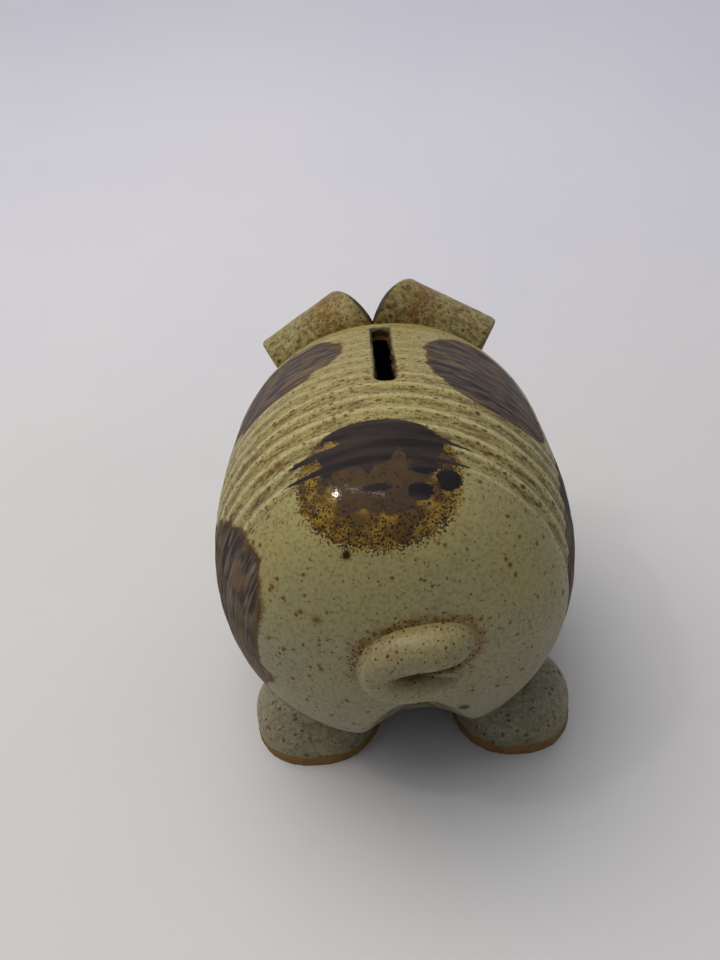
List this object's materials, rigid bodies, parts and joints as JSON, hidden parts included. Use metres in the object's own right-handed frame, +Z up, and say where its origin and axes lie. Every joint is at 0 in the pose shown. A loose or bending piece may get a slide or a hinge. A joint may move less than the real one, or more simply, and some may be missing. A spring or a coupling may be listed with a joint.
{
  "type": "piggy bank",
  "caption": "Thrown stoneware coin bank in the shape of a pig, with curled ears, domed feet, a coin slot in the back and a cork bung in the belly.",
  "frame": {"origin": "centre of the footprint of the object's box, on the surface that the feet stand on", "axes": "+Y towards the tail, -Y towards the snout, +X the pig's left, +Z up"},
  "size_m": [0.108, 0.17, 0.1233],
  "materials": {
    "glaze": "semi-matt oatmeal ash glaze with iron specks and brushed iron patches",
    "iron": "satin iron-brown glaze",
    "foot": "semi-matt glaze over a bare tan clay rim and base",
    "cork": "natural cork"
  },
  "bodies": {
    "bank": {"body": "glaze", "snout": "glaze", "ear_left": "glaze", "ear_right": "glaze", "eye_left": "iron", "eye_right": "iron", "tail": "glaze", "foot_front_left": "foot", "foot_front_right": "foot", "foot_rear_left": "foot", "foot_rear_right": "foot"},
    "stopper": {"stopper": "cork"}
  },
  "joints": [
    {"name": "stopper_pull", "type": "slide", "parent": "bank", "child": "stopper", "axis": [0, 0, -1], "range_m": [0, 0.025]}
  ]
}
